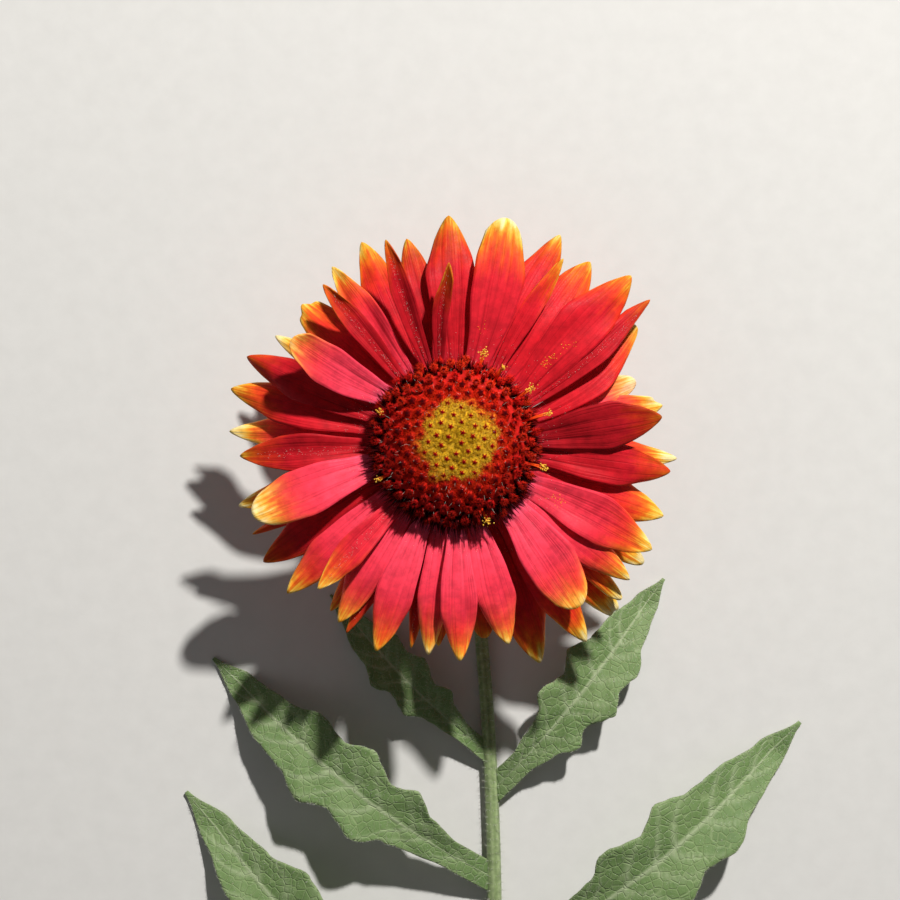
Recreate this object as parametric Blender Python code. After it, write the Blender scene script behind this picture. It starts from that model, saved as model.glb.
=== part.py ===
"""Blanket flower (Gaillardia): one cut flowering stem, laid on a surface with its head facing up.

The origin is the middle of the part's footprint, on the surface. +Y runs along the stem towards the head, +Z is up.
Lengths in the named values below are millimetres and angles are degrees; add_object turns them into metres.
"""

import math
import random

import bmesh
import bpy
from mathutils import Matrix, Vector

MM = 0.001
SLIVER = 0.000002
GAP = 0.3
BLADE = 0.64

# Where the middle of the head stands above the surface, seen from the middle of the footprint
HEAD_X, HEAD_Y = -9.1, 71.9
NECK_HEADING = 9.0
HEAD_LEAN = 6.0

# Stem: radii at the cut end, in the neck and under the head
STEM_SIDES = 12
STEM_FOOT_R, STEM_NECK_R, STEM_TOP_R = 1.55, 1.2, 1.7
NECK_BEND_R = 15.0
STEM_STRAIGHT = 30.0
STEM_BEND_POINT = (12.0, -108.0)
STEM_CUT_POINT = (3.0, -184.0)
NECK_STEPS, STEM_STEPS = 9, 26

# Head, measured up its own axis from the foot of the lowest rays
RAY_ROOT, PLATE_R = 10.5, 12.5
PLATE_BOTTOM, PLATE_TOP = -0.6, 2.95
LEVEL_STEP = 0.8
LEVEL_SLOPES = (-7.0, -2.5, 2.5, 7.5)
RAY_ARCH, RAY_DROOP = 1.2, 2.6
RAY_WIDEST = 0.66
LIFT_FROM = 0.08
RAY_ROWS = (0.0, 0.2, 0.42, 0.64, 0.84, 1.0)
RAY_COLUMNS = 4

# How far the edges of a ray's end stand back as a share of its length, the power of the curve that they
# follow, how deep the end is notched, and how wide it still is
TIPS = {
    "point": (0.14, 1.45, 0.0, 0.60),
    "round": (0.10, 2.2, 0.0, 0.72),
    "teeth": (0.08, 2.2, 0.028, 0.64),
    "notch": (0.09, 2.2, -0.02, 0.66),
}

# Each ray: direction of its root, direction and distance of its tip from the head's middle, width, how far it bows
# to its left, level (3 on top), lift of its outer part, fold of both edges upwards, roll that lifts its left edge,
# and its tip
RAYS = (
    (2.5, 7.2, 36.7, 8.4, 0.0, 3, 5.0, 4.0, 20.0, "point"),
    (9.5, 10.3, 37.9, 6.5, 0.0, 0, 0.0, 3.0, 0.0, "teeth"),
    (16.0, 18.9, 34.2, 5.5, 0.0, 0, 3.0, 3.0, 0.0, "round"),
    (19.0, 32.8, 38.6, 6.0, -2.8, 1, 0.0, 6.0, -6.0, "round"),
    (27.0, 36.3, 42.9, 4.2, -1.2, 2, 2.0, 20.0, 0.0, "point"),
    (30.5, 43.5, 43.0, 9.0, 0.6, 2, 3.0, 8.0, 4.0, "point"),
    (50.0, 53.3, 40.4, 9.0, -0.4, 1, 0.0, 5.0, 0.0, "point"),
    (59.5, 59.6, 37.8, 3.6, 0.4, 2, 6.0, 10.0, 0.0, "point"),
    (65.5, 63.2, 41.7, 7.4, 0.9, 1, 0.0, 4.0, 0.0, "point"),
    (76.0, 77.0, 40.7, 9.1, -1.0, 3, 0.0, 4.0, 3.0, "round"),
    (90.0, 91.6, 40.4, 8.8, 0.0, 2, 0.0, 5.0, 0.0, "point"),
    (102.5, 91.9, 31.4, 3.0, 1.0, 3, 20.0, 36.0, 0.0, "point"),
    (101.5, 103.3, 37.4, 6.4, 0.0, 1, 3.0, 10.0, 4.0, "point"),
    (108.5, 108.9, 37.5, 3.8, 0.3, 3, 12.0, 34.0, 0.0, "point"),
    (118.5, 114.9, 39.6, 7.2, 0.2, 1, 0.0, 5.0, 0.0, "point"),
    (124.5, 124.9, 38.0, 5.4, -0.1, 2, 6.0, 12.0, -10.0, "point"),
    (131.0, 129.8, 36.3, 4.0, -0.2, 2, 12.0, 20.0, 0.0, "point"),
    (136.0, 138.0, 36.9, 8.0, 0.3, 1, 0.0, 4.0, 3.0, "teeth"),
    (141.5, 148.0, 33.7, 7.2, 0.8, 3, 18.0, 8.0, -6.0, "round"),
    (150.0, 149.2, 37.6, 4.6, 0.0, 0, 0.0, 4.0, 0.0, "point"),
    (162.0, 157.4, 40.0, 6.8, 0.2, 2, 0.0, 5.0, -12.0, "point"),
    (168.5, 166.4, 41.2, 7.4, 0.2, 1, 0.0, 4.0, 0.0, "point"),
    (174.0, 177.0, 40.6, 5.8, -0.2, 0, 0.0, 3.0, 0.0, "point"),
    (183.5, 183.4, 38.2, 6.6, 0.0, 2, 3.0, 22.0, -8.0, "point"),
    (195.0, 196.2, 40.5, 5.5, 0.0, 0, 0.0, 3.0, 0.0, "point"),
    (192.5, 199.4, 37.8, 8.7, -0.2, 3, 3.0, 5.0, 5.0, "round"),
    (205.0, 204.2, 39.9, 2.6, 0.0, 0, 0.0, 8.0, 0.0, "point"),
    (207.5, 211.8, 40.3, 7.2, -0.2, 1, 0.0, 4.0, -8.0, "point"),
    (216.0, 221.8, 40.0, 6.6, -0.2, 2, 0.0, 5.0, -4.0, "point"),
    (227.3, 226.8, 35.2, 5.2, -0.3, 3, 8.0, 16.0, -6.0, "point"),
    (232.0, 233.4, 37.5, 4.5, 0.0, 0, 0.0, 3.0, 0.0, "point"),
    (234.5, 237.0, 38.0, 6.2, -0.6, 2, 0.0, 5.0, 5.0, "point"),
    (242.5, 240.2, 39.0, 3.2, 0.0, 1, 3.0, 30.0, 0.0, "point"),
    (248.5, 249.2, 39.3, 6.7, -0.5, 3, 0.0, 5.0, 4.0, "point"),
    (253.0, 257.9, 37.4, 3.0, -0.4, 1, 0.0, 24.0, 0.0, "point"),
    (257.5, 262.8, 37.9, 5.4, -0.1, 2, 0.0, 8.0, 4.0, "point"),
    (264.0, 265.3, 36.6, 5.0, 0.0, 0, 0.0, 3.0, 0.0, "point"),
    (271.5, 271.3, 38.5, 6.6, 0.0, 3, 0.0, 6.0, 3.0, "point"),
    (277.5, 278.8, 35.4, 5.5, 0.0, 0, 0.0, 3.0, 0.0, "round"),
    (284.5, 284.9, 37.0, 7.0, 0.1, 2, 0.0, 4.0, -3.0, "point"),
    (296.0, 291.2, 42.4, 8.3, 0.3, 0, 0.0, 3.0, 0.0, "point"),
    (302.5, 303.5, 42.6, 7.2, 0.2, 1, 0.0, 4.0, 0.0, "point"),
    (312.5, 307.3, 36.2, 9.3, 0.4, 3, 4.0, 4.0, 3.0, "round"),
    (316.0, 313.4, 41.6, 6.8, 0.0, 0, 0.0, 4.0, 0.0, "notch"),
    (319.0, 316.8, 40.8, 3.8, 0.2, 1, 0.0, 4.0, 0.0, "round"),
    (319.5, 322.0, 39.4, 6.4, 0.0, 2, 0.0, 6.0, 4.0, "point"),
    (328.0, 327.5, 40.2, 4.8, 0.0, 0, 0.0, 4.0, 0.0, "round"),
    (326.5, 331.6, 39.7, 8.6, 0.7, 2, 2.0, 12.0, 0.0, "point"),
    (340.5, 340.7, 39.5, 8.0, -0.1, 1, 0.0, 4.0, 0.0, "point"),
    (352.5, 352.5, 38.6, 7.6, 0.0, 2, 0.0, 6.0, 8.0, "point"),
    (357.5, 356.0, 40.0, 5.2, 0.0, 0, 0.0, 4.0, 0.0, "point"),
)

# Disc: the dome under the florets and the button under the buds, as (radius, height) outlines
DISC_BOTTOM = PLATE_TOP + GAP
DISC_OUTLINE = ((12.5, DISC_BOTTOM), (13.2, 4.8), (13.1, 5.6), (12.2, 7.0), (10.8, 8.1), (9.2, 9.0), (7.6, 9.4))
DISC_RECESS = 8.5
BUTTON_OUTLINE = ((7.2, DISC_RECESS + GAP), (7.0, 9.5), (5.8, 10.3), (3.9, 11.0), (1.9, 11.4))
BUTTON_TOP = 11.5
BRISTLE_ROOT = (12.6, 5.2)
DISC_SEGMENTS = 30
FLORET_SIDES = 5
FLORET_SPACING, FLORET_R, FLORET_LENGTH = 2.32, 1.12, 2.1
FLORET_INNER = 8.55
BUD_SPACING, BUD_R, BUD_LENGTH = 2.05, 0.98, 1.05
BUD_OUTER = 6.35
BRISTLE_COUNT, BRISTLE_R, BRISTLE_LENGTH = 44, 0.3, 3.4
GOLDEN_ANGLE = 180.0 * (3.0 - math.sqrt(5.0))

# Involucre: the green cup under the head and its rows of bracts
CUP_OUTLINE = ((1.9, -9.0), (3.2, -7.6), (5.6, -5.6), (8.2, -4.0), (9.6, -2.6), (9.8, PLATE_BOTTOM - GAP))
CUP_SEGMENTS = 20
STEM_END = CUP_OUTLINE[0][1] - GAP

# Each row of bracts: count, height of the root, length, width, fall below the horizontal and first direction
BRACT_ROWS = (
    (10, -2.3, 14.0, 3.6, 9.0, 0.0),
    (10, -3.5, 12.5, 3.4, 19.0, 18.0),
    (10, -4.9, 11.0, 3.0, 33.0, 6.0),
)
BRACT_ROOT_R = (7.8, 7.2, 5.0)
BRACT_ROWS_ALONG = (0.0, 0.3, 0.65, 1.0)

# Leaves: distance of the root down the stem from the head, side (1 right), angle to the stem, length,
# width, arch above the surface, turn of the tip towards the stem
LEAVES = (
    (60.0, -1, 45.0, 41.0, 11.0, 4.0, 8.0),
    (67.0, 1, 44.0, 50.0, 15.0, 5.0, 6.0),
    (84.0, -1, 56.0, 66.0, 17.0, 8.0, 12.0),
    (100.0, 1, 58.0, 72.0, 19.0, 9.0, 14.0),
    (122.0, -1, 56.0, 78.0, 20.0, 9.0, 16.0),
    (140.0, 1, 56.0, 76.0, 20.0, 8.0, 10.0),
    (158.0, -1, 62.0, 72.0, 18.0, 7.0, 12.0),
)
LEAF_ROOT_Z = 1.75
LEAF_FOLD = 13.0
LEAF_FLAT_FROM = 0.9
LEAF_ROOT_STRETCH = 0.16

# A leaf's outline: place along it, and the half width on its two sides as shares of the widest
LEAF_OUTLINE = (
    (0.0, 0.30, 0.30),
    (0.13, 0.32, 0.30),
    (0.24, 0.50, 0.42),
    (0.32, 0.86, 0.54),
    (0.39, 0.62, 0.90),
    (0.50, 1.0, 0.68),
    (0.58, 0.72, 0.98),
    (0.67, 0.84, 0.68),
    (0.76, 0.52, 0.62),
    (0.88, 0.33, 0.33),
    (1.0, 0.04, 0.04),
)
LEAF_COLUMNS = 4

RED = (0.55, 0.02, 0.04)
DARK_RED = (0.22, 0.01, 0.01)
YELLOW = (0.62, 0.40, 0.03)
GREEN = (0.16, 0.26, 0.07)
GREY_GREEN = (0.24, 0.33, 0.14)


def smoothstep(low, high, x):
    x = min(1.0, max(0.0, (x - low) / (high - low)))
    return x * x * (3.0 - 2.0 * x)


def clear_scene():
    for old in list(bpy.data.objects):
        bpy.data.objects.remove(old)


def material(name, colour, roughness):
    made = bpy.data.materials.new(name)
    made.use_nodes = True
    shader = made.node_tree.nodes["Principled BSDF"]
    shader.inputs["Base Color"].default_value = (*colour, 1.0)
    shader.inputs["Roughness"].default_value = roughness
    shader.inputs["Metallic"].default_value = 0.0
    return made


def add_object(name, points, faces, parent, finish=None):
    """One mesh object from points in millimetres. It is parented, and its finish is assigned, if they are given."""
    mesh = bpy.data.meshes.new(name)
    mesh.from_pydata([Vector(p) * MM for p in points], [], faces)
    mesh.validate()
    thing = bpy.data.objects.new(name, mesh)
    bpy.context.scene.collection.objects.link(thing)
    thing.parent = parent
    if finish is not None:
        mesh.materials.append(finish)
    return thing


def blade(surface, rows, columns, thickness=BLADE):
    """A thin closed blade on both sides of surface(t, u), split into triangles alike on its two faces."""
    count = columns + 1
    grid = [[Vector(surface(t, -1.0 + 2.0 * j / columns)) for j in range(count)] for t in rows]
    last = len(rows) - 1
    top, bottom = [], []
    for i in range(len(rows)):
        for j in range(count):
            along = grid[min(i + 1, last)][j] - grid[max(i - 1, 0)][j]
            across = grid[i][min(j + 1, columns)] - grid[i][max(j - 1, 0)]
            normal = along.cross(across).normalized()
            top.append(grid[i][j] + normal * thickness / 2)
            bottom.append(grid[i][j] - normal * thickness / 2)
    low = len(top)
    faces = []
    for i in range(last):
        for j in range(columns):
            a, b = i * count + j, (i + 1) * count + j
            c, d = b + 1, a + 1
            for tri in ((a, b, c), (a, c, d)):
                faces.append(tri)
                faces.append(tuple(low + k for k in reversed(tri)))
    rim = [i * count for i in range(last)]
    rim += [last * count + j for j in range(columns)]
    rim += [i * count + columns for i in range(last, 0, -1)]
    rim += [j for j in range(columns, 0, -1)]
    for k, a in enumerate(rim):
        b = rim[(k + 1) % len(rim)]
        faces.append((low + a, low + b, b))
        faces.append((low + a, b, a))
    return top + bottom, faces


def turned(outline, segments, top=None):
    """A solid turned about Z from (radius, height) points, lowest first, with a flat floor.

    Its top is flat too, or a point at the height top."""
    points, faces = [], []
    for r, z in outline:
        for k in range(segments):
            a = 2 * math.pi * k / segments
            points.append((r * math.cos(a), r * math.sin(a), z))
    for i in range(len(outline) - 1):
        for k in range(segments):
            a, b = i * segments + k, i * segments + (k + 1) % segments
            faces.append((a, b, b + segments, a + segments))
    faces.append(tuple(reversed(range(segments))))
    last = (len(outline) - 1) * segments
    if top is None:
        faces.append(tuple(range(last, last + segments)))
    else:
        points.append((0.0, 0.0, top))
        faces += [(last + k, last + (k + 1) % segments, len(points) - 1) for k in range(segments)]
    return points, faces


def spike(root, direction, radii, heights, sides, turn=0.0):
    """A pointed peg: rings of the given radii at the given distances from its root, then its point."""
    out = Vector(direction).normalized()
    side = out.orthogonal().normalized()
    other = out.cross(side)
    points, faces = [], []
    for r, h in zip(radii, heights):
        for k in range(sides):
            a = 2 * math.pi * k / sides + turn
            points.append(Vector(root) + out * h + side * (r * math.cos(a)) + other * (r * math.sin(a)))
    for i in range(len(radii) - 1):
        for k in range(sides):
            a, b = i * sides + k, i * sides + (k + 1) % sides
            faces.append((a, b, b + sides, a + sides))
    last = (len(radii) - 1) * sides
    points.append(Vector(root) + out * heights[-1])
    faces.append(tuple(reversed(range(sides))))
    faces += [(last + k, last + (k + 1) % sides, len(points) - 1) for k in range(sides)]
    return points, faces


def fuse(body, repeats):
    """Joins the repeats to the body in one Boolean union, applies it and removes the repeats."""
    together = bpy.data.collections.new("repeats")
    bpy.context.scene.collection.children.link(together)
    pieces = [add_object("repeat", points, faces, body.parent) for points, faces in repeats]
    for piece in pieces:
        bpy.context.scene.collection.objects.unlink(piece)
        together.objects.link(piece)
    union = body.modifiers.new("repeats", "BOOLEAN")
    union.operation = "UNION"
    union.operand_type = "COLLECTION"
    union.collection = together
    union.solver = "MANIFOLD"
    bpy.context.view_layer.update()
    evaluated = body.evaluated_get(bpy.context.evaluated_depsgraph_get())
    joined = bpy.data.meshes.new_from_object(evaluated)
    body.modifiers.clear()
    finish = body.data.materials[0]
    body.data = joined
    joined.materials.clear()
    joined.materials.append(finish)
    for piece in pieces:
        bpy.data.objects.remove(piece)
    bpy.data.collections.remove(together)
    clean(joined)


def clean(mesh):
    """Drops the slivers that a union leaves."""
    work = bmesh.new()
    work.from_mesh(mesh)
    bmesh.ops.dissolve_degenerate(work, edges=work.edges, dist=SLIVER)
    bmesh.ops.triangulate(work, faces=work.faces)
    work.to_mesh(mesh)
    work.free()


def ray_surface(ray):
    root, aim, tip, width, bow, level, lift, fold, roll, tip_shape = ray
    back, power, notch, end_width = TIPS[tip_shape]
    start = Vector((math.cos(math.radians(root)), math.sin(math.radians(root)))) * RAY_ROOT
    way = Vector((math.cos(math.radians(aim)), math.sin(math.radians(aim)))) * tip - start
    length = way.length
    way.normalize()
    left = Vector((-way.y, way.x))
    slope = math.tan(math.radians(LEVEL_SLOPES[level]))
    lift = math.tan(math.radians(lift))
    fold, roll = math.tan(math.radians(fold)), math.sin(math.radians(roll))

    def surface(t, u):
        cut = back * abs(u) ** power + notch * math.sin(math.pi * u / 0.95) ** 2
        along = length * (t - cut * smoothstep(0.55, 1.0, t))
        if t < RAY_WIDEST:
            share = 0.40 + 0.60 * smoothstep(0.0, RAY_WIDEST, t)
        else:
            share = 1.0 - (1.0 - end_width) * ((t - RAY_WIDEST) / (1.0 - RAY_WIDEST)) ** 2
        half = width / 2 * share
        height = level * LEVEL_STEP + slope * along
        height += lift * length * max(0.0, (t - LIFT_FROM) / (1.0 - LIFT_FROM)) ** 2
        height += RAY_ARCH * math.sin(math.pi * t) ** 2 - RAY_DROOP * t**3
        height += half * (abs(u) * fold + u * roll) * smoothstep(0.05, 0.45, t)
        spot = start + way * along + left * (half * u + bow * 4.0 * t * (1.0 - t))
        return spot.x, spot.y, height

    return surface


def make_rays(head):
    plate = add_object(
        "ray_florets",
        *turned(((PLATE_R, PLATE_BOTTOM), (PLATE_R, PLATE_TOP)), DISC_SEGMENTS),
        head,
        material("ray_red", RED, 0.55),
    )
    fuse(plate, [blade(ray_surface(ray), RAY_ROWS, RAY_COLUMNS) for ray in RAYS])
    return plate


def on_outline(outline, top, distance):
    """Radius, height and outward slope of a point at a distance along an outline, measured from its inner end."""
    line = [(0.0, top)] + list(reversed(outline)) if top is not None else list(reversed(outline))
    for (r0, z0), (r1, z1) in zip(line, line[1:]):
        step = math.hypot(r1 - r0, z1 - z0)
        if distance <= step:
            share = distance / step
            return r0 + (r1 - r0) * share, z0 + (z1 - z0) * share, math.atan2(r1 - r0, z0 - z1)
        distance -= step
    return None


def spiral(outline, top, spacing):
    """Places on a dome in golden-angle spirals, evenly spaced, as (angle, radius, height, slope)."""
    places = []
    covered = 0.0
    distance = 0.0
    step = 0.02
    count = 0
    while True:
        found = on_outline(outline, top, distance)
        if found is None:
            return places
        r, z, slope = found
        covered += 2 * math.pi * r * step
        if covered >= spacing * spacing * 0.866:
            covered -= spacing * spacing * 0.866
            places.append((math.radians(count * GOLDEN_ANGLE), r, z, slope))
            count += 1
        distance += step


def dome_spikes(places, radius, length, shape, lean, rng):
    """Florets standing on a dome, leaning from upright towards its slope by the share lean."""
    made = []
    for angle, r, z, slope in places:
        tilt = (math.pi / 2 - slope) * lean
        out = Vector((math.cos(angle) * math.sin(tilt), math.sin(angle) * math.sin(tilt), math.cos(tilt)))
        size = rng.uniform(0.92, 1.08)
        root = Vector((r * math.cos(angle), r * math.sin(angle), z)) - out * 0.7
        radii = [radius * size * share for share, _ in shape]
        heights = [(length * size + 0.7) * share for _, share in shape] + [length * size + 0.7]
        made.append(spike(root, out, radii, heights, FLORET_SIDES, angle))
    return made


def make_disc(head):
    rng = random.Random(5)
    recess = turned(DISC_OUTLINE + ((7.6, DISC_RECESS),), DISC_SEGMENTS)
    disc = add_object("disc_florets", *recess, head, material("disc_red", DARK_RED, 0.7))
    florets = spiral(DISC_OUTLINE[1:], None, FLORET_SPACING)
    shape = ((1.0, 0.0), (0.86, 0.72))
    pegs = dome_spikes([p for p in florets if p[1] > FLORET_INNER], FLORET_R, FLORET_LENGTH, shape, 0.8, rng)
    for k in range(BRISTLE_COUNT):
        angle = 2 * math.pi * (k + rng.uniform(-0.3, 0.3)) / BRISTLE_COUNT
        rise = math.radians(rng.uniform(4.0, 28.0))
        out = Vector((math.cos(angle) * math.cos(rise), math.sin(angle) * math.cos(rise), math.sin(rise)))
        root = Vector((BRISTLE_ROOT[0] * math.cos(angle), BRISTLE_ROOT[0] * math.sin(angle), BRISTLE_ROOT[1]))
        reach = BRISTLE_LENGTH * rng.uniform(0.8, 1.05)
        pegs.append(spike(root, out, (BRISTLE_R,), (0.0, reach), 3, angle))
    fuse(disc, pegs)

    button = add_object(
        "disc_centre",
        *turned(BUTTON_OUTLINE, DISC_SEGMENTS, BUTTON_TOP),
        head,
        material("disc_yellow", YELLOW, 0.6),
    )
    buds = [p for p in spiral(BUTTON_OUTLINE[1:], BUTTON_TOP, BUD_SPACING) if p[1] < BUD_OUTER]
    shape = ((1.0, 0.0), (0.8, 0.7))
    fuse(button, dome_spikes(buds, BUD_R, BUD_LENGTH, shape, 0.55, rng))


def bract_surface(root_r, root_z, length, width, fall, direction):
    def surface(t, u):
        half = width / 2 * (0.75 + 0.25 * math.sin(math.pi * min(1.0, t * 1.6))) * (1.0 - 0.9 * t**1.6)
        drop = math.radians(fall + 16.0 * t)
        r = root_r + length * t * math.cos(drop)
        z = root_z - length * t * math.sin(drop) + 0.5 * half * u * u
        a = math.radians(direction)
        side = half * u
        return (r * math.cos(a) - side * math.sin(a), r * math.sin(a) + side * math.cos(a), z)

    return surface


def make_involucre(head):
    cup = add_object(
        "involucre", *turned(CUP_OUTLINE, CUP_SEGMENTS), head, material("bract_green", GREEN, 0.75)
    )
    bracts = []
    for (count, z, length, width, fall, first), root_r in zip(BRACT_ROWS, BRACT_ROOT_R):
        for k in range(count):
            shape = bract_surface(root_r, z, length, width, fall, first + 360.0 * k / count)
            bracts.append(blade(shape, BRACT_ROWS_ALONG, 2))
    fuse(cup, bracts)


def bezier(points, t):
    a, b, c, d = (Vector(p) for p in points)
    s = 1.0 - t
    return a * s**3 + b * (3 * s * s * t) + c * (3 * s * t * t) + d * t**3


def neck_frame():
    """The neck's level heading, and the plan point where it leaves the surface, from under the head's middle."""
    heading = Vector((-math.sin(math.radians(NECK_HEADING)), math.cos(math.radians(NECK_HEADING))))
    reach = NECK_BEND_R * math.cos(math.radians(HEAD_LEAN)) - STEM_END * math.sin(math.radians(HEAD_LEAN))
    return heading, -heading * reach


def stem_line():
    """The stem's middle line from the head to the cut: (plan point, height, tangent, radius) at each station."""
    heading, lift_off = neck_frame()
    rest = math.cos(math.pi / STEM_SIDES)
    stations = []
    bend = math.radians(90.0 - HEAD_LEAN)
    for i in range(NECK_STEPS):
        share = i / NECK_STEPS
        a = bend * (1.0 - share)
        radius = STEM_NECK_R + (STEM_TOP_R - STEM_NECK_R) * (1.0 - smoothstep(0.0, 0.35, share))
        plan = lift_off + heading * (NECK_BEND_R * math.sin(a))
        height = STEM_NECK_R * rest + NECK_BEND_R * (1.0 - math.cos(a))
        tangent = Vector((heading.x * math.cos(a), heading.y * math.cos(a), math.sin(a)))
        stations.append((plan, height, tangent, radius))
    curve = (lift_off, lift_off - heading * STEM_STRAIGHT, STEM_BEND_POINT, STEM_CUT_POINT)
    for i in range(STEM_STEPS + 1):
        t = i / STEM_STEPS
        plan = bezier(curve, t)
        ahead = bezier(curve, max(0.0, t - 0.01)) - bezier(curve, min(1.0, t + 0.01))
        radius = STEM_NECK_R + (STEM_FOOT_R - STEM_NECK_R) * smoothstep(0.0, 1.0, t)
        tangent = Vector((ahead.x, ahead.y, 0.0)).normalized()
        stations.append((plan, radius * rest, tangent, radius))
    return stations


def make_stem(plant):
    stations = stem_line()
    points, faces = [], []
    for plan, height, tangent, radius in stations:
        side = Vector((tangent.y, -tangent.x, 0.0)).normalized()
        up = side.cross(tangent)
        middle = Vector((plan.x, plan.y, height))
        for k in range(STEM_SIDES):
            a = 2 * math.pi * (k + 0.5) / STEM_SIDES
            points.append(middle + side * (radius * math.cos(a)) + up * (radius * math.sin(a)))
    for i in range(len(stations) - 1):
        for k in range(STEM_SIDES):
            a, b = i * STEM_SIDES + k, i * STEM_SIDES + (k + 1) % STEM_SIDES
            faces.append((a, b, b + STEM_SIDES, a + STEM_SIDES))
    faces.append(tuple(reversed(range(STEM_SIDES))))
    faces.append(tuple(range(len(points) - STEM_SIDES, len(points))))
    add_object("stem", points, faces, plant, material("stem_green", GREY_GREEN, 0.8))


def stem_at(distance):
    """Plan point, level tangent towards the head and radius of the lying stem, a distance down from the head."""
    lying = stem_line()[NECK_STEPS:]
    plan, _, tangent, radius = min(lying, key=lambda s: abs(s[0].y + distance))
    plan = plan + Vector((tangent.x, tangent.y)) * ((-distance - plan.y) / tangent.y)
    return plan, tangent, radius


def leaf_halves(t, u):
    for (t0, a0, b0), (t1, a1, b1) in zip(LEAF_OUTLINE, LEAF_OUTLINE[1:]):
        if t <= t1:
            share = (t - t0) / (t1 - t0)
            return a0 + (a1 - a0) * share if u < 0 else b0 + (b1 - b0) * share
    return LEAF_OUTLINE[-1][1]


def leaf_surface(leaf):
    distance, side, angle, length, width, arch, turn = leaf
    plan, tangent, radius = stem_at(distance)
    outward = Vector((tangent.y, -tangent.x)) * side
    forward = Vector((tangent.x, tangent.y))
    root = plan + outward * (radius + GAP + BLADE / 2)
    fold = math.tan(math.radians(LEAF_FOLD))

    def surface(t, u):
        half = width / 2 * leaf_halves(t, u)
        bent = math.radians(angle - turn * t)
        start = math.radians(angle)
        along = length * t
        way = outward * math.sin((bent + start) / 2) + forward * math.cos((bent + start) / 2)
        across = (outward * math.cos(bent) - forward * math.sin(bent)) * -side
        spot = root + way * along + across * (half * u)
        near = max(0.0, 1.0 - t / LEAF_ROOT_STRETCH)
        spot = spot + way * (half * u * side * near / math.tan(start))
        height = LEAF_ROOT_Z * (1.0 - t) ** 2 + arch * math.sin(math.pi * t / LEAF_FLAT_FROM)
        height += half * abs(u) * fold * (1.0 - near)
        return spot.x, spot.y, max(BLADE / 2, height)

    return surface


def make_leaves(plant):
    finish = material("leaf_green", GREY_GREEN, 0.7)
    rows = [row[0] for row in LEAF_OUTLINE]
    for number, leaf in enumerate(LEAVES, 1):
        add_object(f"leaf_{number}", *blade(leaf_surface(leaf), rows, LEAF_COLUMNS), plant, finish)


def main():
    clear_scene()
    plant = bpy.data.objects.new("plant", None)
    bpy.context.scene.collection.objects.link(plant)
    plant.location = (HEAD_X * MM, HEAD_Y * MM, 0.0)

    # The head's own frame stands on the end of the neck, with +X kept to the right
    top, height, axis, _ = stem_line()[0]
    head = bpy.data.objects.new("head", None)
    bpy.context.scene.collection.objects.link(head)
    head.parent = plant
    x_axis = (Vector((1.0, 0.0, 0.0)) - axis * axis.x).normalized()
    turn = Matrix((x_axis, axis.cross(x_axis), axis)).transposed()
    middle = Vector((top.x, top.y, height)) - axis * STEM_END
    head.matrix_local = Matrix.Translation(middle * MM) @ turn.to_4x4()

    make_rays(head)
    make_disc(head)
    make_involucre(head)
    make_stem(plant)
    make_leaves(plant)


main()
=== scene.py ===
"""Looks of the blanket flower: fine rays, disc, bracts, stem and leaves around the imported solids.

Lengths in the named values are millimetres and angles degrees, as in the part's source. The meshes are made
in metres in the row frame. The head has a frame of its own, which stands on the end of the bent neck.
"""

import random
from math import atan2, cos, exp, hypot, pi, radians, sin, sqrt, tan, tau

import bpy
from mathutils import Matrix, Vector


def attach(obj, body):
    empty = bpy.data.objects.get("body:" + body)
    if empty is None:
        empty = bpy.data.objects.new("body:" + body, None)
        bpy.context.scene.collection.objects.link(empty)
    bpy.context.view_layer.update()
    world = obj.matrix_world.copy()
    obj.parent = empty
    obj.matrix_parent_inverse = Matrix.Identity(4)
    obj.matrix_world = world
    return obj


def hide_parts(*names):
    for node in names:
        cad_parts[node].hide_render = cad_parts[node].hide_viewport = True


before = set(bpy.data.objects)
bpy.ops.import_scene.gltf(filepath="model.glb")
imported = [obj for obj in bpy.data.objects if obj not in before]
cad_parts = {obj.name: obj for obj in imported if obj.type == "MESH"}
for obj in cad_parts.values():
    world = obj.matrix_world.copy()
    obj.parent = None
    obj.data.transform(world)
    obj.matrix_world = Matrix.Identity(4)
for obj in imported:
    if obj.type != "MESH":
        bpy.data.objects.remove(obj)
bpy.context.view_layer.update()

MM = 0.001
GOLDEN_ANGLE = 180.0 * (3.0 - sqrt(5.0))

# Head and neck, as in the part's source
HEAD_X, HEAD_Y = -9.1, 71.9
NECK_HEADING, HEAD_LEAN, NECK_BEND_R = 9.0, 6.0, 15.0
STEM_FOOT_R, STEM_NECK_R, STEM_TOP_R = 1.55, 1.2, 1.7
STEM_STRAIGHT = 30.0
STEM_BEND_POINT = (12.0, -108.0)
STEM_CUT_POINT = (3.0, -184.0)
STEM_FLAT_SIDES = 12
STEM_END = -9.3
NECK_STEPS, LYING_STEPS = 9, 26

# The scene's own finer stem
FINE_NECK_STEPS, FINE_LYING_STEPS = 28, 120
STEM_SIDES = 36
STEM_HAIR_SHARE = 0.62

# Rays, as in the part's source
RAY_ROOT = 10.5
LEVEL_STEP = 0.8
LEVEL_SLOPES = (-7.0, -2.5, 2.5, 7.5)
RAY_ARCH, RAY_DROOP = 1.2, 2.6
RAY_WIDEST = 0.66
LIFT_FROM = 0.08
# Each tip: how far its sides fall back, how pointed it is, how deep its notches are, and its width as a share
TIPS = {
    "point": (0.14, 1.45, 0.0, 0.60),
    "round": (0.10, 2.2, 0.0, 0.72),
    "teeth": (0.08, 2.2, 0.028, 0.64),
    "notch": (0.09, 2.2, -0.02, 0.66),
}
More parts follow.
